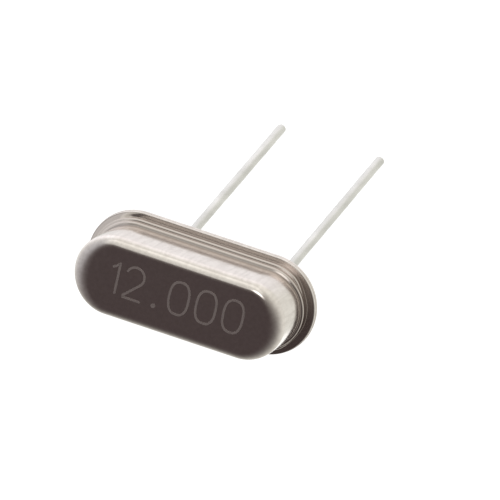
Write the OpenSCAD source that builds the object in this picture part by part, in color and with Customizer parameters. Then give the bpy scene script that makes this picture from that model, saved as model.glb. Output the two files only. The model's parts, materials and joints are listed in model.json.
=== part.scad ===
// Low-profile quartz crystal: a welded metal can on a base with two glass-sealed leads.
// The origin is on the seating plane under the base, midway between the leads.
// +Z points through the can, +X runs along the long side from lead 1 to lead 2.

/* [Flange and can] */
// Length over the flange
flange_len = 11.0; // [10.6:0.1:11.6]
// Width over the flange
flange_w = 4.6; // [4.5:0.05:4.9]
// Thickness of the base's flange
base_flange_t = 0.15; // [0.1:0.01:0.25]
// How far the can's flange lies inside the edge of the base's flange
flange_inset = 0.04; // [0.01:0.01:0.08]
// Thickness of the can's flange
can_flange_t = 0.15; // [0.12:0.01:0.2]
// Width over the can's straight walls
can_w = 3.72; // [3.6:0.02:3.8]
// Height from the seating plane to the top of the can
height = 3.4; // [3.2:0.05:3.6]
// Thickness of the can's sheet
sheet_t = 0.2; // [0.15:0.01:0.25]
// Outer radius of the rounded top edge
top_r = 0.5; // [0.3:0.05:0.6]
// How far the lower pressed step stands out from the wall
lower_step_out = 0.2; // [0.14:0.01:0.22]
// Height of the lower pressed step above the seating plane
lower_step_z = 0.55; // [0.5:0.01:0.6]
// How far the upper pressed step stands out from the wall
upper_step_out = 0.07; // [0.05:0.01:0.1]
// Height of the upper pressed step above the seating plane
upper_step_z = 0.8; // [0.75:0.01:0.9]
// Radius of the pressed steps' edges and of the rim's edges
edge_r = 0.05; // [0.03:0.01:0.06]

/* [Base and seals] */
// Height of the base's platform above the seating plane
platform_z = 0.9; // [0.8:0.05:1.0]
// Gap between the platform and the can's inner wall
platform_gap = 0.04; // [0.02:0.01:0.1]
// Diameter of each glass seal
seal_d = 1.3; // [1.1:0.05:1.5]
// How far the glass lies below the metal on each side
seal_dip = 0.04; // [0.02:0.01:0.1]

/* [Leads] */
// Distance between the two leads
pitch = 4.88; // [4.7:0.02:5.08]
// Diameter of a lead where it is tinned, below the base
lead_d = 0.43; // [0.4:0.01:0.5]
// Thickness of the tin on the wire
tin_t = 0.015; // [0.01:0.005:0.03]
// Length below the seating plane over which the tin thins out to the bare wire
tin_taper = 0.6; // [0.55:0.05:0.9]
// Length of a lead from the seating plane to its tip, along the wire
lead_len = 15.0; // [12.7:0.1:16]
// Straight length of a lead before it bends over
straight_len = 3.0; // [2:0.1:5]
// Radius of the bend, at the middle of the wire
bend_r = 2.0; // [1:0.1:4]
// Angle by which the rest of the lead leans over
lean = 14.8; // [5:0.1:25]
// Diameter of the flat head on the inner end of a lead
head_d = 0.76; // [0.6:0.02:0.9]
// Thickness of that head
head_t = 0.12; // [0.08:0.01:0.2]
// Wire between the platform and the head
head_rise = 0.18; // [0.1:0.02:0.3]

/* [Crystal] */
// Length of the quartz blank
blank_len = 8.0; // [7.6:0.1:8.2]
// Width of the quartz blank
blank_w = 2.0; // [1.6:0.1:2.2]
// Thickness of the quartz blank
blank_t = 0.1; // [0.08:0.01:0.15]
// Thickness of the plated electrodes, drawn thicker than the real film
film_t = 0.02; // [0.01:0.005:0.04]
// Length of the electrodes' overlapping middle
electrode_len = 3.4; // [2.5:0.1:4]
// Width of the electrodes' middle
electrode_w = 1.5; // [1.2:0.1:1.8]
// Width of an electrode's tail
tail_w = 0.7; // [0.4:0.05:1]
// Length of the tail's pad on the other face of the blank
pad_len = 0.7; // [0.5:0.05:1]

/* [Clips and glue] */
// Thickness of a clip's spring strip
clip_t = 0.1; // [0.06:0.01:0.15]
// Width of a clip
clip_w = 1.2; // [0.8:0.05:1.4]
// Length of a clip's shelf under the end of the blank
shelf_len = 0.55; // [0.4:0.05:0.7]
// Height from the lead's head to the underside of the blank's plating
clip_rise = 0.9; // [0.6:0.05:1.1]
// Width of the relief slot in a clip's upright
slot_w = 0.4; // [0.2:0.05:0.6]
// Gap between the end of the blank's plating and a clip's end stop
stop_gap = 0.06; // [0.04:0.01:0.1]
// Height of a clip's end stop above the blank
stop_rise = 0.15; // [0.1:0.05:0.3]
// Radius of a bead of glue
glue_r = 0.42; // [0.3:0.02:0.5]

/* [Hidden] */
$fn = 64;

half_run = (flange_len - flange_w) / 2;
base_r = flange_w / 2;
rim_r = base_r - flange_inset;
wall_r = can_w / 2;
lower_r = wall_r + lower_step_out;
upper_r = wall_r + upper_step_out;
inner_r = wall_r - sheet_t;
seat_z = base_flange_t + can_flange_t;
platform_r = inner_r - platform_gap;
wire_d = lead_d - 2 * tin_t;
head_z = platform_z + head_rise;
clip_z = head_z + head_t;
shelf_z = clip_z + clip_rise - clip_t;
film_z = shelf_z + clip_t;
blank_z = film_z + film_t;
blank_top = blank_z + blank_t;
half_blank = blank_len / 2;
stop_x = half_blank + film_t + stop_gap;
upright_x = half_blank - shelf_len;
foot_x = pitch / 2 - head_d / 2;
slack = 0.5;
// Overlap that joins the bent and the leaning length of a lead into one wire
lap = 0.0001;
dome_steps = 8;
arc_steps = 4;

// Points along an arc round (x, y), from angle a to angle b
function arc(x, y, r, a, b, steps = arc_steps) =
    [for (i = [0:steps]) let (t = a + (b - a) * i / steps) [x + r * cos(t), y + r * sin(t)]];

// Sweeps a half section, drawn from the middle plane outwards, round the oblong
module oblong() {
    for (side = [0, 180])
        rotate([0, 0, side])
            translate([half_run, 0, 0])
                rotate([0, 0, -90])
                    rotate_extrude(angle = 180)
                        children();
    translate([-half_run, 0, 0])
        rotate([90, 0, 90])
            linear_extrude(2 * half_run) {
                children();
                mirror([1, 0])
                    children();
            }
}

// Outer half section of the can: flange, two steps, wall and rounded top
module can_outside() {
    polygon(concat(
        [[0, base_flange_t], [rim_r, base_flange_t]],
        arc(rim_r - edge_r, seat_z - edge_r, edge_r, 0, 90),
        arc(lower_r + edge_r, seat_z + edge_r, edge_r, 270, 180),
        arc(lower_r - edge_r, lower_step_z - edge_r, edge_r, 0, 90),
        [[upper_r, lower_step_z]],
        arc(upper_r - edge_r, upper_step_z - edge_r, edge_r, 0, 90),
        [[wall_r, upper_step_z]],
        arc(wall_r - top_r, height - top_r, top_r, 0, 90, dome_steps),
        [[0, height]]));
}

// Inner half section of the can, one sheet thickness inside the outer one
module can_inside() {
    top_in = top_r - sheet_t;
    polygon(concat(
        [[0, base_flange_t - slack], [lower_r - sheet_t, base_flange_t - slack]],
        [[lower_r - sheet_t, lower_step_z - sheet_t], [upper_r - sheet_t, lower_step_z - sheet_t]],
        [[upper_r - sheet_t, upper_step_z - sheet_t], [inner_r, upper_step_z - sheet_t]],
        arc(inner_r - top_in, height - sheet_t - top_in, top_in, 0, 90, dome_steps),
        [[0, height - sheet_t]]));
}

module can() {
    color([0.80, 0.78, 0.75])
        oblong()
            difference() {
                can_outside();
                can_inside();
            }
}

// Half section of the base: flange with an eased lower edge, and the platform
module base_section() {
    polygon(concat(
        [[0, 0]],
        arc(base_r - edge_r, edge_r, edge_r, 270, 360),
        [[base_r, base_flange_t], [platform_r, base_flange_t]],
        arc(platform_r - edge_r, platform_z - edge_r, edge_r, 0, 90),
        [[0, platform_z]]));
}

module base() {
    color([0.70, 0.68, 0.66])
        difference() {
            oblong()
                base_section();
            for (x = [-pitch / 2, pitch / 2])
                translate([x, 0, -slack])
                    cylinder(h = platform_z + 2 * slack, d = seal_d);
        }
}

module glass_seal(side) {
    color([0.25, 0.35, 0.38])
        translate([side * pitch / 2, 0, seal_dip])
            difference() {
                cylinder(h = platform_z - 2 * seal_dip, d = seal_d);
                translate([0, 0, -slack])
                    cylinder(h = platform_z + 2 * slack, d = wire_d);
            }
}

// Tinned wire, its taper and the bare wire, which runs on inside them and ends in a flat head, then
// the bend and the leaning length
module lead(side) {
    bend_len = bend_r * lean * PI / 180;
    leaning_len = lead_len - straight_len - bend_len;
    color([0.84, 0.84, 0.81])
        translate([side * pitch / 2, 0, 0]) {
            translate([0, 0, -straight_len])
                cylinder(h = straight_len - tin_taper, d = lead_d);
            translate([0, 0, -tin_taper])
                cylinder(h = tin_taper, d1 = lead_d, d2 = wire_d);
            translate([0, 0, -straight_len])
                cylinder(h = straight_len + head_z, d = wire_d);
            translate([0, 0, head_z])
                cylinder(h = head_t, d = head_d);
            translate([0, bend_r, -straight_len]) {
                rotate([-90, 0, 0])
                    rotate([0, 90, 0])
                        rotate_extrude(angle = lean)
                            translate([bend_r, 0])
                                circle(d = lead_d);
                rotate([lean, 0, 0])
                    translate([0, -bend_r, -leaning_len])
                        cylinder(h = leaning_len + lap, d = lead_d);
            }
        }
}

// Folded strip: foot on the lead's head, slotted upright, shelf and end stop
module clip(side) {
    foot_end = upright_x + clip_t;
    color([0.76, 0.72, 0.60])
        mirror([side < 0 ? 1 : 0, 0, 0])
            difference() {
                translate([0, clip_w / 2, 0])
                    rotate([90, 0, 0])
                        linear_extrude(clip_w) {
                            translate([foot_x, clip_z])
                                square([foot_end - foot_x, clip_t]);
                            translate([upright_x, clip_z])
                                square([clip_t, shelf_z + clip_t - clip_z]);
                            translate([upright_x, shelf_z])
                                square([stop_x + clip_t - upright_x, clip_t]);
                            translate([stop_x, shelf_z])
                                square([clip_t, blank_top + stop_rise - shelf_z]);
                        }
                translate([upright_x - slack, -slot_w / 2, clip_z + clip_t])
                    cube([slack + clip_t + slack / 2, slot_w, shelf_z - clip_z - clip_t]);
            }
}

module quartz_blank() {
    color([0.85, 0.90, 0.92])
        translate([-half_blank, -blank_w / 2, blank_z])
            cube([blank_len, blank_w, blank_t]);
}

// Plating of one face: the middle, a tail to one end, and a pad wrapped on to the other face
module electrode(side, face_z, pad_z) {
    color([0.86, 0.86, 0.88])
        mirror([side < 0 ? 1 : 0, 0, 0]) {
            translate([-electrode_len / 2, -electrode_w / 2, face_z])
                cube([electrode_len, electrode_w, film_t]);
            translate([0, -tail_w / 2, face_z])
                cube([half_blank + film_t, tail_w, film_t]);
            translate([half_blank, -tail_w / 2, film_z])
                cube([film_t, tail_w, blank_t + 2 * film_t]);
            translate([half_blank + film_t - pad_len, -tail_w / 2, pad_z])
                cube([pad_len, tail_w, film_t]);
        }
}

// Bead of glue over one end of the blank, round the plating, the blank and the end stop
module adhesive(side) {
    bead_x = stop_x - glue_r / 2;
    color([0.62, 0.60, 0.56])
        difference() {
            intersection() {
                translate([side * bead_x, 0, blank_top])
                    sphere(r = glue_r);
                translate([side * bead_x - glue_r, -glue_r, film_z])
                    cube([2 * glue_r, 2 * glue_r, blank_top - film_z + glue_r]);
            }
            quartz_blank();
            electrode(side, side < 0 ? blank_top : film_z, side < 0 ? film_z : blank_top);
            clip(side);
        }
}

can();
base();
glass_seal(-1);  // glass_seal_1
glass_seal(1);  // glass_seal_2
lead(-1);  // lead_1
lead(1);  // lead_2
clip(-1);  // clip_1
clip(1);  // clip_2
quartz_blank();
electrode(-1, blank_top, film_z);  // electrode_upper
electrode(1, film_z, blank_top);  // electrode_lower
adhesive(-1);  // adhesive_1
adhesive(1);  // adhesive_2
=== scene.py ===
import json

import bmesh
import bpy
import numpy as np
from mathutils import Matrix, Vector


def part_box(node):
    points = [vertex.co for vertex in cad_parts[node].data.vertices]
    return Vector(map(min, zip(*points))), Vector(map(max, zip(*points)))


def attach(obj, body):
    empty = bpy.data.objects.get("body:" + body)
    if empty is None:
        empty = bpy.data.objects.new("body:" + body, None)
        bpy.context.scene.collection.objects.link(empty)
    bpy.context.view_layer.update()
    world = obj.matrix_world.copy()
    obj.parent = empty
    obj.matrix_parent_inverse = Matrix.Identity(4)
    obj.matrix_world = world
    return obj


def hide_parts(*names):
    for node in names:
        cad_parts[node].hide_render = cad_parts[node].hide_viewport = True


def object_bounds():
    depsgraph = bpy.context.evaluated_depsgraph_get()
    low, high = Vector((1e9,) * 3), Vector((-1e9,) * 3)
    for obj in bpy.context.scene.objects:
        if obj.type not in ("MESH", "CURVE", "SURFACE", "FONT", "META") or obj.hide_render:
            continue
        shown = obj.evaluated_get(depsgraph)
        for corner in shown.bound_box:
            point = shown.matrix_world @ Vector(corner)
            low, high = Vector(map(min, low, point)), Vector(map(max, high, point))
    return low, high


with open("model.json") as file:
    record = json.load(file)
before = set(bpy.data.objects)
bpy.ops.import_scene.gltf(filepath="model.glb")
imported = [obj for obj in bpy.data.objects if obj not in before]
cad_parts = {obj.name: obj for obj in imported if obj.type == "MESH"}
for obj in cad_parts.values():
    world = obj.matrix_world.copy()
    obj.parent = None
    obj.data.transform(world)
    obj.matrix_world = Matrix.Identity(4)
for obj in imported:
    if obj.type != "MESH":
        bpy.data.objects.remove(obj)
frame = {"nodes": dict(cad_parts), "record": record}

mm = 0.001  # shapes are worked out in millimetres and turned into metres by this
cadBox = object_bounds()
rng = np.random.default_rng(49)


viewer = {
    "aim": (1.48, 1.73, -1.06),  # the point in the middle of the view
    "azimuth": 49.3,  # degrees, as the next two
    "elevation": 65.1,
    "roll": -123.7,
    "distance": 600.0,
    "viewWidth": 22.23,  # how much is seen from left to right at the aim
    "sensor": 36.0,
    "clip": (0.01, 10.0),  # metres
}


def placeCamera(look):
    # azimuth and elevation put the camera on a ball round the aim, and the roll turns the view
    azimuth, elevation, roll = np.radians([look["azimuth"], look["elevation"], look["roll"]])
    flat = np.cos(elevation)
    back = Vector((flat * np.cos(azimuth), flat * np.sin(azimuth), np.sin(elevation)))
    level = Vector((-np.sin(azimuth), np.cos(azimuth), 0))
    right = level * np.cos(roll) + back.cross(level) * np.sin(roll)
    data = bpy.data.cameras.new("viewer")
    data.sensor_width = look["sensor"]
    data.lens = look["sensor"] * look["distance"] / look["viewWidth"]
    data.clip_start, data.clip_end = look["clip"]
    data.dof.use_dof = False
    camera = bpy.data.objects.new("viewer", data)
    bpy.context.scene.collection.objects.link(camera)
    turn = Matrix((right, back.cross(right), back)).transposed().to_4x4()
    place = (Vector(look["aim"]) + back * look["distance"]) * mm
    camera.matrix_world = Matrix.Translation(place) @ turn
    bpy.context.scene.camera = camera


placeCamera(viewer)
bpy.context.scene.view_settings.view_transform = "Standard"
print("camera placed")


class Feed:
    # an output socket that can be written in sums: a + b, 1 - mask, noise * 0.2
    def __init__(self, tree, socket):
        self.tree, self.socket = tree, socket

    def combine(self, operation, first, second):
        return self.tree.add("ShaderNodeMath", {"operation": operation}, {0: first, 1: second})

    def __add__(self, other):
        return self.combine("ADD", self, other)

    def __radd__(self, other):
        return self.combine("ADD", other, self)

    def __sub__(self, other):
        return self.combine("SUBTRACT", self, other)

    def __rsub__(self, other):
        return self.combine("SUBTRACT", other, self)

    def __mul__(self, other):
        return self.combine("MULTIPLY", self, other)

    def __rmul__(self, other):
        return self.combine("MULTIPLY", other, self)


class ShaderTree:
    def __init__(self, owner):
        owner.use_nodes = True
        self.nodes, self.links = owner.node_tree.nodes, owner.node_tree.links
        self.nodes.clear()

    def add(self, kind, settings=None, sockets=None, output=0):
        # settings are set before the sockets, because some of them change which sockets there are
        made = self.nodes.new(kind)
        for name, value in (settings or {}).items():
            setattr(made, name, value)
        for key, value in (sockets or {}).items():
            if isinstance(value, Feed):
                self.links.new(value.socket, made.inputs[key])
            else:
                made.inputs[key].default_value = value
        return Feed(self, made.outputs[output]) if len(made.outputs) else None

    def objectPoint(self):
        return self.add("ShaderNodeTexCoord", output="Object")

    def stretch(self, point, scale):
        return self.add("ShaderNodeMapping", {}, {"Vector": point, "Scale": scale})

    def noise(self, point, scale, detail=3.0, roughness=0.5):
        sockets = {"Vector": point, "Scale": scale, "Detail": detail, "Roughness": roughness}
        return self.add("ShaderNodeTexNoise", {}, sockets)

    def span(self, value, start, end=(0.0, 1.0), smooth=False):
        # carries the value from the first range to the second and holds it there
        easing = {"interpolation_type": "SMOOTHSTEP" if smooth else "LINEAR"}
        ends = {"From Min": start[0], "From Max": start[1], "To Min": end[0], "To Max": end[1]}
        return self.add("ShaderNodeMapRange", easing, {"Value": value, **ends})

    def band(self, value, low, high):
        # a mask that rises softly across the low range and falls softly across the high one
        return self.span(value, low, smooth=True) * (1 - self.span(value, high, smooth=True))

    def blend(self, factor, first, second):
        sockets = {0: factor, 6: rgba(first), 7: rgba(second)}  # 6 and 7 take the colours
        return self.add("ShaderNodeMix", {"data_type": "RGBA"}, sockets, 2)

    def patchy(self, value, look, edges):
        # the finish's colour where the value is low, and its shade where it is high
        return self.blend(self.span(value, edges), look["colour"], look["shade"])

    def bump(self, height, distance):
        return self.add("ShaderNodeBump", {}, {"Height": height, "Distance": distance})

    def surface(self, sockets):
        shader = self.add("ShaderNodeBsdfPrincipled", {}, sockets)
        self.add("ShaderNodeOutputMaterial", {}, {"Surface": shader})


def rgba(colour):
    return colour if isinstance(colour, Feed) else (*colour, 1)


def newFinish(name):
    made = bpy.data.materials.new(name)
    return made, ShaderTree(made)


# a noise stays near 0.5, so these are the ranges in which it does its work
noiseSpan = (0.3, 0.7)
softPatches = (0.35, 0.65)
crispPatches = (0.4, 0.6)

# in the finishes, noise scales are per metre, and heights and bump distances are in metres
canPlate = {
    "colour": (0.87, 0.80, 0.76),
    "shade": (0.78, 0.71, 0.67),
    "rough": (0.10, 0.20),
    "mottle": 1500.0,
    "grain": 6000.0,
    "lines": 5500.0,
    "lineStretch": 0.12,  # the noise changes this much more slowly upwards
    "mottleGloss": 0.6, "grainGloss": 0.2, "lineGloss": 0.2,
    "mottleTone": 0.4, "lineTone": 0.6,
    "weldSpan": (0.0003, 0.00034),  # the heights between which the dull flange gives way to the wall
    "weldDull": 0.08,
    "pressed": (0.63, 0.56, 0.52),  # painted shade on the steps and the flange, for a darker reflection there
    "pressLow": (0.00027, 0.000297),
    "pressHigh": (0.00080, 0.00088),
    "corner": (0.48, 0.425, 0.395),  # deepest painted shade: the upper step's ledge, and a share of it on the flange
    "ledgeLow": (0.0008, 0.000835),
    "ledgeHigh": (0.00086, 0.00096),
    "flangeTop": (0.00031, 0.00034),
    "flangeShare": 0.3,
}


def makeCanFinish(name, look):
    # nickel plate: broad mottle in colour and gloss, fine grain, and faint drawing lines
    made, tree = newFinish(name)
    point = tree.objectPoint()
    mottle = tree.noise(point, look["mottle"], detail=4.0, roughness=0.6)
    grain = tree.noise(point, look["grain"], detail=2.0)
    lines = tree.noise(tree.stretch(point, (1.0, 1.0, look["lineStretch"])), look["lines"])
    height = tree.add("ShaderNodeSeparateXYZ", {}, {0: point}, 2)
    # the clamped flange is duller than the drawn wall
    gloss = mottle * look["mottleGloss"] + grain * look["grainGloss"] + lines * look["lineGloss"]
    welded = 1 - tree.span(height, look["weldSpan"], smooth=True)
    rough = tree.span(gloss, noiseSpan, look["rough"]) + welded * look["weldDull"]
    # painted shade: the pressed steps are browner and darker than the wall and the rim, and the upper ledge
    # deepest
    plate = tree.patchy(mottle * look["mottleTone"] + lines * look["lineTone"], look, crispPatches)
    pressed = tree.band(height, look["pressLow"], look["pressHigh"])
    ledge = tree.band(height, look["ledgeLow"], look["ledgeHigh"])
    flange = tree.band(height, look["pressLow"], look["flangeTop"])
    tint = tree.blend(pressed, plate, look["pressed"])
    tint = tree.blend(ledge + flange * look["flangeShare"], tint, look["corner"])
    tree.surface({"Base Color": tint, "Metallic": 1.0, "Roughness": rough})
    return made


tinCoat = {
    "colour": (0.84, 0.815, 0.79),
    "shade": (0.73, 0.71, 0.685),
    "rough": (0.24, 0.46),
    "mottle": 1900.0,
    "mottleStretch": 0.3,
    "grain": 12000.0,
    "bump": 0.000006,
}


def makeTinFinish(name, look):
    # dull dipped tin: soft grey patches and a fine frosted grain
    made, tree = newFinish(name)
    point = tree.objectPoint()
    patches = tree.noise(tree.stretch(point, (1.0, 1.0, look["mottleStretch"])), look["mottle"])
    frost = patches * 0.5 + tree.noise(point, look["grain"]) * 0.5
    tree.surface({"Base Color": tree.patchy(patches, look, softPatches), "Metallic": 1.0,
                  "Roughness": tree.span(frost, noiseSpan, look["rough"]),
                  "Normal": tree.bump(frost, look["bump"])})
    return made


sealGlass = {
    "colour": (0.018, 0.030, 0.034),
    "shade": (0.035, 0.050, 0.052),
    "rough": (0.22, 0.06),
    "cloud": 2100.0,
    "bubbles": 7000.0,
    "bubbleSize": (0.0, 0.4),
    "bump": 0.000002,
    "bend": 1.52,  # index of refraction
}


def makeGlassFinish(name, look):
    # dark compression glass with faint bubbles
    made, tree = newFinish(name)
    point = tree.objectPoint()
    cloud = tree.noise(point, look["cloud"])
    bubbles = tree.add("ShaderNodeTexVoronoi", {}, {"Vector": point, "Scale": look["bubbles"]}, "Distance")
    tree.surface({"Base Color": tree.patchy(cloud, look, crispPatches), "IOR": look["bend"],
                  "Roughness": tree.span(bubbles, look["bubbleSize"], look["rough"]),
                  "Normal": tree.bump(bubbles, look["bump"])})
    return made


markFilm = {
    "colour": (0.66, 0.58, 0.56),
    "shade": (0.54, 0.47, 0.45),
    "rough": (0.42, 0.58),
    "wander": 9000.0,
}


def makeMarkFinish(name, look):
    # the laser leaves a frosted line whose strength wanders
    made, tree = newFinish(name)
    wander = tree.noise(tree.objectPoint(), look["wander"])
    tree.surface({"Base Color": tree.patchy(wander, look, softPatches), "Metallic": 1.0,
                  "Roughness": tree.span(wander, noiseSpan, look["rough"])})
    return made


innerFinishes = {
    "spring_strip": {"metal": 1.0, "rough": (0.22, 0.36),
                     "colour": (0.62, 0.56, 0.44), "shade": (0.50, 0.44, 0.34)},
    "quartz": {"metal": 0.0, "rough": (0.05, 0.14),
               "colour": (0.82, 0.88, 0.90), "shade": (0.72, 0.80, 0.83)},
    "silver_film": {"metal": 1.0, "rough": (0.16, 0.30),
                    "colour": (0.86, 0.86, 0.87), "shade": (0.74, 0.73, 0.70)},
    "silver_glue": {"metal": 0.6, "rough": (0.45, 0.62),
                    "colour": (0.42, 0.41, 0.39), "shade": (0.30, 0.29, 0.27)},
}
innerGrain = {"mottle": 4200.0, "grain": 15000.0, "bump": 0.000002}


def makeInnerFinish(name, look):
    # the pieces inside the can: one soft mottle drives colour and gloss
    made, tree = newFinish(name)
    point = tree.objectPoint()
    mottle = tree.noise(point, innerGrain["mottle"], detail=4.0, roughness=0.6)
    grain = tree.noise(point, innerGrain["grain"])
    tree.surface({"Base Color": tree.patchy(mottle, look, softPatches), "Metallic": look["metal"],
                  "Roughness": tree.span(mottle, noiseSpan, look["rough"]),
                  "Normal": tree.bump(grain, innerGrain["bump"])})
    return made


finishes = {
    "can_plate": makeCanFinish("can_plate", canPlate),
    "base_plate": makeCanFinish("base_plate", {**canPlate, "rough": (0.16, 0.28)}),
    "tinned_wire": makeTinFinish("tinned_wire", tinCoat),
    "seal_glass": makeGlassFinish("seal_glass", sealGlass),
    "laser_mark": makeMarkFinish("laser_mark", markFilm),
    **{slot: makeInnerFinish(slot, look) for slot, look in innerFinishes.items()},
}
print("finishes made")


def gridFaces(rows, columns, first, closed):
    # quads between neighbouring rows and columns; a closed grid also joins the last row to the first
    row = np.arange(rows if closed else rows - 1)[:, None]
    column = np.arange(columns - 1)[None, :]
    here = row * columns + column
    below = (row + 1) % rows * columns + column
    return np.stack([here, below, below + 1, here + 1], axis=-1).reshape(-1, 4) + first


joining = {"merge": 3e-8, "sliver": 1e-8, "crease": 1.0}  # metres, metres and radians


def skin(name, grids, slot):
    # each grid is (points, closed), with rows x columns x 3 in mm; equal points of all grids are merged
    points, faces, count = [], [], 0
    for grid, closed in grids:
        rows, columns = grid.shape[:2]
        points.append(grid.reshape(-1, 3))
        faces.append(gridFaces(rows, columns, count, closed))
        count += rows * columns
    mesh = bpy.data.meshes.new(name)
    mesh.from_pydata((np.concatenate(points) * mm).tolist(), [], np.concatenate(faces).tolist())
    work = bmesh.new()
    work.from_mesh(mesh)
    bmesh.ops.remove_doubles(work, verts=work.verts, dist=joining["merge"])
    bmesh.ops.dissolve_degenerate(work, edges=work.edges, dist=joining["sliver"])
    bmesh.ops.recalc_face_normals(work, faces=work.faces)
    work.to_mesh(mesh)
    openEdges = sum(1 for edge in work.edges if len(edge.link_faces) != 2)
    work.free()
    mesh.polygons.foreach_set("use_smooth", np.ones(len(mesh.polygons), bool))
    mesh.set_sharp_from_angle(angle=joining["crease"])
    mesh.materials.append(finishes[slot])
    made = bpy.data.objects.new(name, mesh)
    bpy.context.scene.collection.objects.link(made)
    print(name, len(mesh.polygons), "faces,", openEdges, "open edges")
    return made


def softCorners(corners, steps=6, nearlyStraight=1.56):
    # corners are (r, z, radius); each one becomes an arc that touches both of its sides, unless it has no
    # radius or half its angle, in radians, is past nearlyStraight
    places = np.array([(r, z) for r, z, radius in corners], float)
    out = [places[:1]]
    for i in range(1, len(corners) - 1):
        place, radius = places[i], corners[i][2]
        back, ahead = places[i - 1] - place, places[i + 1] - place
        back, ahead = back / np.linalg.norm(back), ahead / np.linalg.norm(ahead)
        half = np.arccos(np.clip(back @ ahead, -1, 1)) / 2
        if radius <= 0 or half > nearlyStraight:
            out.append(place[None])
            continue
        middle = place + (back + ahead) / np.linalg.norm(back + ahead) * radius / np.sin(half)
        start, end = (place + side * radius / np.tan(half) - middle for side in (back, ahead))
        first, last = np.arctan2(start[1], start[0]), np.arctan2(end[1], end[0])
        sweep = (last - first + np.pi) % (2 * np.pi) - np.pi
        angle = first + sweep * np.linspace(0, 1, steps + 1)
        out.append(middle + radius * np.stack([np.cos(angle), np.sin(angle)], axis=-1))
    out.append(places[-1:])
    return np.concatenate(out)


def fillStraights(line, gap):
    # points added along each straight stretch, no further apart than the gap
    out = [line[:1]]
    for start, end in zip(line[:-1], line[1:]):
        steps = max(1, int(np.ceil(np.linalg.norm(end - start) / gap)))
        out.append(start + (end - start) * np.linspace(0, 1, steps + 1)[1:, None])
    return np.concatenate(out)


def softRise(value, start, over):
    # 0 up to the start, 1 past the stretch, and 3 u^2 - 2 u^3 in between
    u = np.clip((value - start) / over, 0, 1)
    return u * u * (3 - 2 * u)


def ovalTrack(halfRun, bends=88, runs=40):
    # middle points and outward directions round an oblong: two half turns joined by two straight runs
    turn = np.linspace(-np.pi / 2, np.pi / 2, bends, endpoint=False)
    run = np.linspace(1, -1, runs, endpoint=False) * halfRun
    x = np.concatenate([np.full(bends, halfRun), run, np.full(bends, -halfRun), -run])
    angle = np.concatenate([turn, np.full(runs, np.pi / 2), turn + np.pi, np.full(runs, -np.pi / 2)])
    return x, np.cos(angle), np.sin(angle)


def sweepOval(line, halfRun):
    # point = middle + distance * outward direction, at the height of the line's point
    x, outX, outY = (part[:, None] for part in ovalTrack(halfRun))
    r = line[:, 0]
    y = outY * r
    return np.stack([x + outX * r, y, np.broadcast_to(line[:, 1], y.shape)], axis=-1)


def ripple(points, height, length, count=10):
    # a slow unevenness: a sum of plane waves in random directions
    waves = rng.normal(size=(count, 3)) * 2 * np.pi / length
    phase = rng.uniform(0, 2 * np.pi, count)
    return np.sin(points @ waves.T + phase).sum(-1) * height / np.sqrt(count)


canLow, canHigh = (np.array(corner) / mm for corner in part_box("can"))
baseHigh = np.array(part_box("base")[1]) / mm
halfRun = baseHigh[0] - baseHigh[1]
top = canHigh[2]
sectionGap = 0.09  # the longest step between points along the can's and the base's section

# left is the -X end and right the +X end
can = {
    "sheet": 0.2, "wallR": 1.86, "footZ": 0.845, "lean": 0.075,  # lean is how far the foot is drawn in
    "upperR": 1.93, "upperZ": 0.80, "lowerR": 2.04, "lowerZ": 0.60,  # the two pressed steps
    "rimR": 2.285, "flange": 0.15,  # flange is its thickness
    # the rounded top edge: its depth, and how far it reaches in along the sides and at the ends
    "shoulder": 0.5, "sideRun": 0.48, "leftRun": 0.85, "rightRun": 0.71,
    "dome": 0.015, "bow": 0.012, "bowDepth": 1.0,  # the bow has died out this far below the top
    # radii of the bends, down the outside and back up the inside
    "footBend": 0.03, "upperBend": 0.1, "rootBend": 0.015, "lowerBend": 0.09, "rimBend": 0.06,
    "rimEdge": 0.01, "mouthEdge": 0.02, "innerBend": 0.05, "innerRise": 0.02, "innerTop": 0.3,
    "topRows": 18, "shoulderRows": 22, "wallRows": 14, "bendSteps": 8,
    # right end: where the lower step closes up, and what the wall and the upper ledge do there
    "mergeFrom": 0.5, "mergeOver": 0.4, "upright": 0.4, "sink": 0.03, "sinkFade": 0.3,
    # left end: the slopes of the flange and the lower ledge, and how far it all fades towards a cone
    "slopeLow": 0.12, "slopeHigh": 0.07, "slopeRate": 1.4,
    "fade": 0.6, "fadeFrom": 0.2, "fadeOver": 0.5, "fadeIn": 0.1,
    # how far off the lower step and the flange a point still counts as theirs
    "stepGap": 0.02, "seatGap": 0.001,
}


def roundedTop(size, outX):
    # flat rows from the middle out, then an elliptic quarter, whose reach grows from the sides' to the
    # end's with the square of outX; the dome lowers them all by the square of the distance
    endRun = np.where(outX < 0, size["leftRun"], size["rightRun"])
    reach = size["sideRun"] + (endRun - size["sideRun"]) * outX**2
    share = np.linspace(0, 1, size["topRows"], endpoint=False)
    turn = np.linspace(0, np.pi / 2, size["shoulderRows"])
    r = np.concatenate([(size["wallR"] - reach) * share, size["wallR"] - reach * (1 - np.sin(turn))], axis=1)
    drop = np.concatenate([np.zeros(len(share)), (size["shoulder"] - size["dome"]) * (1 - np.cos(turn))])
    return r, top - drop - size["dome"] * (r / size["wallR"]) ** 2


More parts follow.
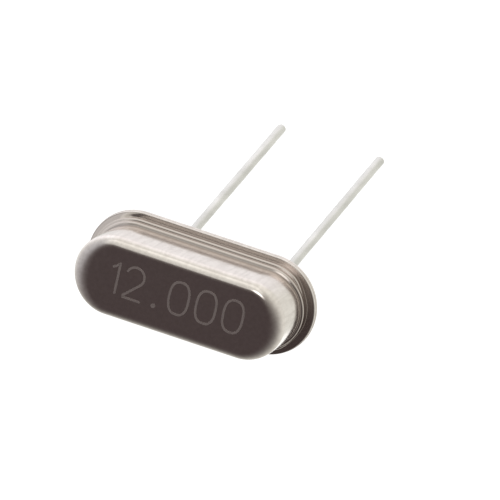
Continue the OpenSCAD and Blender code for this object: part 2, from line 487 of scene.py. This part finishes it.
def canSection(size, seat, foot):
    # below the shoulder: the wall, drawn in by a quarter sine towards its foot, then the two steps, the
    # flange, and the inside of the sheet back to the middle
    rise = np.linspace(1, 0, size["wallRows"])[:-1]
    wallR = foot + size["lean"] * np.sin(rise * np.pi / 2)
    wallZ = size["footZ"] + (top - size["shoulder"] - size["footZ"]) * rise
    upper, lower, rim, low = size["upperR"], size["lowerR"], size["rimR"], canLow[2]
    mouth, innerR = lower - size["sheet"], size["wallR"] - size["sheet"]
    innerZ, innerTop = size["lowerZ"] - size["sheet"], top - size["sheet"]
    outline = [*((r, z, 0) for r, z in zip(wallR, wallZ)), (foot, size["footZ"], size["footBend"]),
               (upper, size["upperZ"], size["upperBend"]), (upper, size["lowerZ"], size["rootBend"]),
               (lower, size["lowerZ"], size["lowerBend"]), (lower, seat, size["rootBend"]),
               (rim, seat, size["rimBend"]), (rim, low, size["rimEdge"]),
               (mouth, low, size["mouthEdge"]), (mouth, innerZ, size["innerBend"]),
               (innerR, innerZ + size["innerRise"], size["innerBend"]),
               (innerR, innerTop, size["innerTop"]), (0, innerTop, 0)]
    return fillStraights(softCorners(outline, size["bendSteps"]), sectionGap)[1:]


def endShifts(size, line, seat, foot, outX):
    # how far the section's outer points move at the two ends of the can, outwards and upwards
    r, z = line[:, 0], line[:, 1]
    upper, lower, rim, footZ = size["upperR"], size["lowerR"], size["rimR"], size["footZ"]
    outside = np.arange(len(line)) <= np.argmax(r)
    low = z < size["lowerZ"] + size["stepGap"]
    onLower, onUpper = outside & low, outside & ~low
    onSteps = outside & (z > seat - size["seatGap"]) & (z < footZ + size["footBend"])
    # shares of the way in from the rim to the lower step, out along its ledge, and in to the wall's foot
    inFromRim = np.clip((rim - r) / (rim - lower), 0, 1)
    outOnLedge = np.clip((r - upper) / (lower - upper), 0, 1)
    inToFoot = np.clip((upper - r) / (upper - foot), 0, 1)
    # right end: the lower step closes up to the upper one, the wall leans less and the upper ledge is flatter
    merge = softRise(outX, size["mergeFrom"], size["mergeOver"])
    bead = (lower - upper) * outOnLedge * inFromRim * onLower
    straight = np.where(z > footZ, size["wallR"] - r, size["lean"] * inToFoot) * onUpper
    sink = size["sink"] * inToFoot * np.exp(-np.maximum(z - footZ, 0) / size["sinkFade"]) * onUpper
    # left end: the flange slopes up, the lower step's ledge slopes down, and all of it fades towards a cone
    climb = np.clip((z - seat) / (size["lowerZ"] - seat), 0, 1)
    slope = size["slopeLow"] * (1 - climb) * inFromRim - size["slopeHigh"] * climb * outOnLedge
    slope = slope * (low & onSteps) * np.clip(-outX * size["slopeRate"], 0, 1)
    cone = np.interp(r, [foot, rim - size["rimBend"]], [footZ, seat])
    fade = size["fade"] * np.clip((r - foot) / size["fadeIn"], 0, 1) * onSteps
    fade = fade * softRise(-outX, size["fadeFrom"], size["fadeOver"])
    slope = slope + fade * (cone - z - slope)
    return merge * (size["upright"] * straight - bead), slope - merge * sink


def makeCan(size):
    # the section is carried round the oblong: point = middle + r * outward direction, at height z
    x, outX, outY = (part[:, None] for part in ovalTrack(halfRun))
    seat, foot = canLow[2] + size["flange"], size["wallR"] - size["lean"]
    line = canSection(size, seat, foot)
    outwards, upwards = endShifts(size, line, seat, foot, outX)
    topR, topZ = roundedTop(size, outX)
    r = np.concatenate([topR, line[:, 0] + outwards], axis=1)
    z = np.concatenate([topZ, line[:, 1] + upwards], axis=1)
    # the bow lowers the top by the square of x, and dies out down the wall
    bow = size["bow"] * ((x + outX * r) / baseHigh[0]) ** 2
    z = z - bow * np.clip((z - top) / size["bowDepth"] + 1, 0, 1)
    made = skin("can_shell", [(np.stack([x + outX * r, outY * r, z], axis=-1), True)], "can_plate")
    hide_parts("can")
    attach(made, "root")


makeCan(can)

marking = {
    "digits": "12.000",
    "centres": (-2.95, -2.06, -0.98, 0.12, 1.43, 2.74),  # one for each digit, along x
    "foot": -0.67,
    "height": 1.5,
    "stroke": 0.11,
    "thick": 0.004,
    "proud": 0.0025,  # above the can's top
    "gap": 0.02,  # the longest step between points along a stroke
}


def digitStrokes(digit):
    # middle lines of one digit, one unit tall; the zero is x^power + y^power = 1, which lies between an
    # ellipse and a rectangle, the two is an arc with a straight tail, and the point is a small circle
    if digit == "0":
        power, halfWidth, halfHeight = 2.6, 0.31, 0.5
        turn = np.linspace(0, 2 * np.pi, 65)
        swell = (abs(np.cos(turn)) ** power + abs(np.sin(turn)) ** power) ** (-1 / power)
        x, y = halfWidth * np.cos(turn) * swell, halfHeight + halfHeight * np.sin(turn) * swell
        return [np.stack([x, y], axis=-1)]
    if digit == "1":
        return [np.array([(-0.16, 0.80), (-0.04, 0.87), (0.04, 0.96)]), np.array([(0.06, 1.0), (0.06, 0.0)])]
    if digit == "2":
        radius = 0.29
        turn = np.radians(np.linspace(165, -38, 24))
        arc = np.stack([radius * np.cos(turn), 1 - radius + radius * np.sin(turn)], axis=-1)
        return [np.concatenate([arc, [(-0.29, 0.03)]]), np.array([(-0.30, 0.0), (0.31, 0.0)])]
    radius = 0.035
    turn = np.linspace(0, 2 * np.pi, 17)
    return [np.stack([radius * np.cos(turn), radius + radius * np.sin(turn)], axis=-1)]


def ribbon(size, line, topOf):
    # a flat strip: the stroke plus and minus half a width along its normal, a few micrometres proud of the
    # top; the half width shrinks as a circle does at the two tips
    closed = np.allclose(line[0], line[-1])
    line = line[:-1] if closed else line
    step = np.roll(line, -1, 0) - np.roll(line, 1, 0) if closed else np.gradient(line, axis=0)
    side = np.stack([-step[:, 1], step[:, 0]], axis=-1) / np.linalg.norm(step, axis=1, keepdims=True)
    half = np.full((len(line), 1), size["stroke"] / 2)
    if not closed:
        along = np.concatenate([[0], np.cumsum(np.linalg.norm(np.diff(line, axis=0), axis=1))])[:, None]
        reach = np.clip(np.minimum(along, along[-1] - along) / half, 0, 1)
        half = half * np.sqrt(1 - (1 - reach) ** 2)
    left, right = line + side * half, line - side * half
    over, under = size["proud"], size["proud"] - size["thick"]
    section = [(left, over), (right, over), (right, under), (left, under), (left, over)]
    sides = [np.column_stack([edge, topOf(*edge.T) + lift]) for edge, lift in section]
    return np.stack(sides, axis=1), closed


def canTop(x, y):
    # height of the can's slightly domed and bowed top
    r = np.hypot(np.maximum(abs(x) - halfRun, 0), y)
    return top - can["dome"] * (r / can["wallR"]) ** 2 - can["bow"] * (x / baseHigh[0]) ** 2


def makeMarking(size, topOf):
    grids = []
    for digit, centre in zip(size["digits"], size["centres"]):
        for stroke in digitStrokes(digit):
            line = fillStraights(stroke * size["height"], size["gap"]) + (centre, size["foot"])
            grids.append(ribbon(size, line, topOf))
    made = skin("number_mark", grids, "laser_mark")
    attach(made, "root")


makeMarking(marking, canTop)

seals = [np.array(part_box(f"glass_seal_{i}")) / mm for i in (1, 2)]
leadX = abs(seals[0][:, 0].mean())
sealR = (seals[0][1, 0] - seals[0][0, 0]) / 2

base = {
    "platformR": 1.62,
    "plateR": 1.5,  # inside this the underside is ruled from the holes out
    "plateInset": 0.1,  # how much less that is on the platform's top
    "edge": 0.02,
    "root": 0.03,
    "lip": 0.05,  # the rounded mouth of a hole
    "plateRows": 14,
    "middleRays": 25,
    "boreGap": 0.2,
}


def plateWithHole(size, z, reach, side):
    # a ruled surface: ring + v * (rim - ring), from a seal's hole to the edge of one half of the oblong
    x, outX, outY = ovalTrack(halfRun)
    edge = np.stack([x + outX * reach, outY * reach], axis=-1)
    edge = edge[edge[:, 0] * side >= -1e-9]  # this half, with the points on its middle line
    across = np.linspace(-reach, reach, size["middleRays"])[1:-1]
    rim = np.concatenate([edge, np.stack([np.zeros(len(across)), across], axis=-1)])
    centre = np.array([side * leadX, 0.0])
    angle = np.arctan2(rim[:, 1], rim[:, 0] - centre[0])
    order = np.argsort(angle)
    rim, angle = rim[order], angle[order]
    ring = centre + (sealR + size["lip"]) * np.stack([np.cos(angle), np.sin(angle)], axis=-1)
    v = np.linspace(0, 1, size["plateRows"])[None, :, None]
    flat = ring[:, None] * (1 - v) + rim[:, None] * v
    return np.concatenate([flat, np.full((*flat.shape[:2], 1), z)], axis=-1), angle[:, None]


def makeBase(size):
    # the outer side is a section carried round the oblong; a hole's wall is turned, and its angles go from
    # the underside's to the platform's with the height, so that it meets both
    rim, flange, platformZ = baseHigh[1], canLow[2], baseHigh[2]
    under, over, platform = size["plateR"], size["plateR"] - size["plateInset"], size["platformR"]
    outline = [(under, 0, 0), (rim, 0, size["edge"]), (rim, flange, size["edge"]),
               (platform, flange, size["root"]), (platform, platformZ, size["edge"]), (over, platformZ, 0)]
    grids = [(sweepOval(fillStraights(softCorners(outline), sectionGap), halfRun), True)]
    lip, mouth = size["lip"], sealR + size["lip"]
    bore = [(mouth, 0, 0), (sealR, 0, lip), (sealR, platformZ, lip), (mouth, platformZ, 0)]
    boreR, boreZ = fillStraights(softCorners(bore), size["boreGap"]).T
    climb = boreZ / platformZ
    for side in (-1, 1):
        lowPlate, lowAngle = plateWithHole(size, 0.0, under, side)
        highPlate, highAngle = plateWithHole(size, platformZ, over, side)
        angle = lowAngle * (1 - climb) + highAngle * climb
        wall = np.stack([side * leadX + np.cos(angle) * boreR, np.sin(angle) * boreR,
                         np.broadcast_to(boreZ, angle.shape)], axis=-1)
        grids += [(lowPlate, True), (highPlate, True), (wall, True)]
    made = skin("base_plate", grids, "base_plate")
    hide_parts("base")
    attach(made, "root")


makeBase(base)

wireR = 0.2  # the bare wire, inside the glass and above it
seal = {
    "dip": 0.05,
    "creep": 0.09,
    "hollow": 0.42,  # where the hollow is deepest, on the way from the wire to the hole
    "wireShare": 1.4,
    "holeShare": 0.35,
    "points": 15,
    "around": 72,
}


def makeSeal(number, size):
    # turned section: the glass is hollow between the wire and the hole, and creeps out along both with the
    # cube of the distance from the hollow, further along the wire; its upper side mirrors the under side
    low, high = seals[number - 1][0, 2], seals[number - 1][1, 2]
    centre = seals[number - 1][:, 0].mean()
    share = np.linspace(0, 1, size["points"])
    r = wireR + (sealR - wireR) * share
    creep = size["creep"] * (2 * abs(share - size["hollow"])) ** 3
    creep = creep * np.where(share < size["hollow"], size["wireShare"], size["holeShare"])
    under = low + size["dip"] - creep
    line = np.concatenate([np.stack([r, under], -1), np.stack([r, high + low - under], -1)[::-1]])
    line = np.concatenate([line, line[:1]])
    turn = np.linspace(0, 2 * np.pi, size["around"], endpoint=False)[:, None]
    x, y = centre + np.cos(turn) * line[:, 0], np.sin(turn) * line[:, 0]
    points = np.stack([x, y, np.broadcast_to(line[:, 1], x.shape)], axis=-1)
    made = skin(f"seal_{number}", [(points, True)], "seal_glass")
    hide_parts(f"glass_seal_{number}")
    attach(made, "root")


for number in (1, 2):
    makeSeal(number, seal)

lead = {
    "tinR": 0.215,
    "taperFrom": 0.02,
    "taper": 0.6,  # where the tin is full, below the base
    "straight": 3.0,
    "length": 15.0,
    "bendR": 2.0,
    "lean": 14.8,  # degrees
    "headR": 0.38,
    "headT": 0.12,
    "headZ": 1.08,
    "edge": 0.03,
    "uneven": 0.004,
    "unevenLength": 1.1,
    "plainTip": 0.05,  # this much of the end stays even
    "gap": 0.12,
    "around": 40,
}


def leadPath(size, along):
    # along is the distance below the seating plane: straight down, round the bend, then leaning to +Y
    lean, bendR = np.radians(size["lean"]), size["bendR"]
    past = along - size["straight"]
    angle = np.clip(past, 0, bendR * lean) / bendR
    rest = np.maximum(past - bendR * lean, 0)
    y = bendR * (1 - np.cos(angle)) + rest * np.sin(lean)
    z = -np.minimum(along, size["straight"]) - bendR * np.sin(angle) - rest * np.cos(lean)
    return y, z, angle


def makeLead(number, size):
    # rings round the path, each square to it: point = path + r * (cos, sin), swollen by the ripple
    side = -1 if number == 1 else 1
    head, headR, edge, end = -size["headZ"], size["headR"], size["edge"], size["length"]
    outline = [(0, head - size["headT"], 0), (headR, head - size["headT"], edge), (headR, head, edge),
               (wireR, head, edge), (wireR, size["taperFrom"], 0), (size["tinR"], size["taper"], 0),
               (size["tinR"], end, edge), (0, end, 0)]
    r, along = fillStraights(softCorners(outline), size["gap"]).T
    y, z, angle = leadPath(size, along)
    turn = np.linspace(0, 2 * np.pi, size["around"], endpoint=False)[:, None]
    acrossX, acrossY = np.cos(turn) * r, np.sin(turn) * r
    points = np.stack([acrossX, acrossY, np.broadcast_to(along, acrossX.shape)], axis=-1)
    tinned = (along > size["taper"]) & (along < end - size["plainTip"]) & (r > wireR / 2)
    swell = 1 + tinned * ripple(points, size["uneven"], size["unevenLength"]) / size["tinR"]
    acrossX, acrossY = acrossX * swell, acrossY * swell
    place = [side * leadX + acrossX, y + acrossY * np.cos(angle), z + acrossY * np.sin(angle)]
    made = skin(f"wire_{number}", [(np.stack(place, axis=-1), True)], "tinned_wire")
    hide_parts(f"lead_{number}")
    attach(made, "root")


for number in (1, 2):
    makeLead(number, lead)

# every solid of the frame gets the finish of its own slot; those inside the can have no other surface
for part in frame["record"]["subparts"]:
    node, slot = frame["nodes"][part["node"]], part["material_slot"]
    node.data.materials.clear()
    node.data.materials.append(finishes[slot])
print("solids finished")

stage = {"halfSide": 600.0, "drop": 0.02, "glow": 1.15}  # drop is the gap below the leads' tips


def makeFloor(size):
    z = cadBox[0][2] / mm - size["drop"]
    half = size["halfSide"]
    corners = np.array([(-half, -half, z), (half, -half, z), (half, half, z), (-half, half, z)]) * mm
    mesh = bpy.data.meshes.new("floor")
    mesh.from_pydata(corners.tolist(), [], [(0, 1, 2, 3)])
    made, tree = newFinish("floor")
    light = tree.add("ShaderNodeEmission", {}, {"Strength": size["glow"]})
    tree.add("ShaderNodeOutputMaterial", {}, {"Surface": light})
    mesh.materials.append(made)
    floor = bpy.data.objects.new("floor", mesh)
    bpy.context.scene.collection.objects.link(floor)
    floor.visible_glossy = floor.visible_diffuse = False  # the room lights the part from below instead


makeFloor(stage)
print("floor laid")

# each patch of light has its direction, where it starts and is full (as cosines), and its colour
room = {"dim": (0.07, 0.055, 0.056), "patches": [
    {"toward": (-0.97, 0.24, 0.0), "start": 0.45, "full": 0.88, "colour": (0.27, 0.29, 0.31)},
    {"toward": (-0.99, -0.11, 0.08), "start": 0.36, "full": 0.95, "colour": (0.14, 0.14, 0.14)},
    {"toward": (-0.28, 0.66, 0.70), "start": 0.83, "full": 0.95, "colour": (0.44, 0.46, 0.44)},
    {"toward": (-0.28, 0.95, -0.10), "start": 0.62, "full": 0.92, "colour": (0.16, 0.16, 0.16)},
    {"toward": (0.17, 0.75, 0.64), "start": 0.30, "full": 1.7, "colour": (0.34, 0.34, 0.30)},
    {"toward": (-0.04, 0.33, 0.94), "start": 0.978, "full": 1.0, "colour": (1.6, 1.6, 1.6)},
    {"toward": (0.37, 0.38, -0.85), "start": -1.0, "full": 0.77, "colour": (0.74, 0.77, 0.72)},
    {"toward": (-0.45, 0.55, -0.70), "start": 0.6, "full": 0.95, "colour": (0.17, 0.16, 0.22)},
    {"toward": (-0.08, -0.43, -0.90), "start": 0.93, "full": 0.99, "colour": (0.45, 0.45, 0.48)},
]}


def makeRoom(look):
    world = bpy.data.worlds.new("room")
    tree = ShaderTree(world)
    away = tree.add("ShaderNodeTexCoord", output="Generated")
    light = tree.add("ShaderNodeBackground", {}, {"Color": rgba(look["dim"])})
    for patch in look["patches"]:
        toward = Vector(patch["toward"]).normalized()
        near = tree.add("ShaderNodeVectorMath", {"operation": "DOT_PRODUCT"}, {0: away, 1: toward}, "Value")
        lit = tree.span(near, (patch["start"], patch["full"]), smooth=True)
        glow = tree.add("ShaderNodeBackground", {}, {"Color": rgba(patch["colour"]), "Strength": lit})
        light = tree.add("ShaderNodeAddShader", {}, {0: light, 1: glow})
    tree.add("ShaderNodeOutputWorld", {}, {"Surface": light})
    bpy.context.scene.world = world


makeRoom(room)
print("room lit")
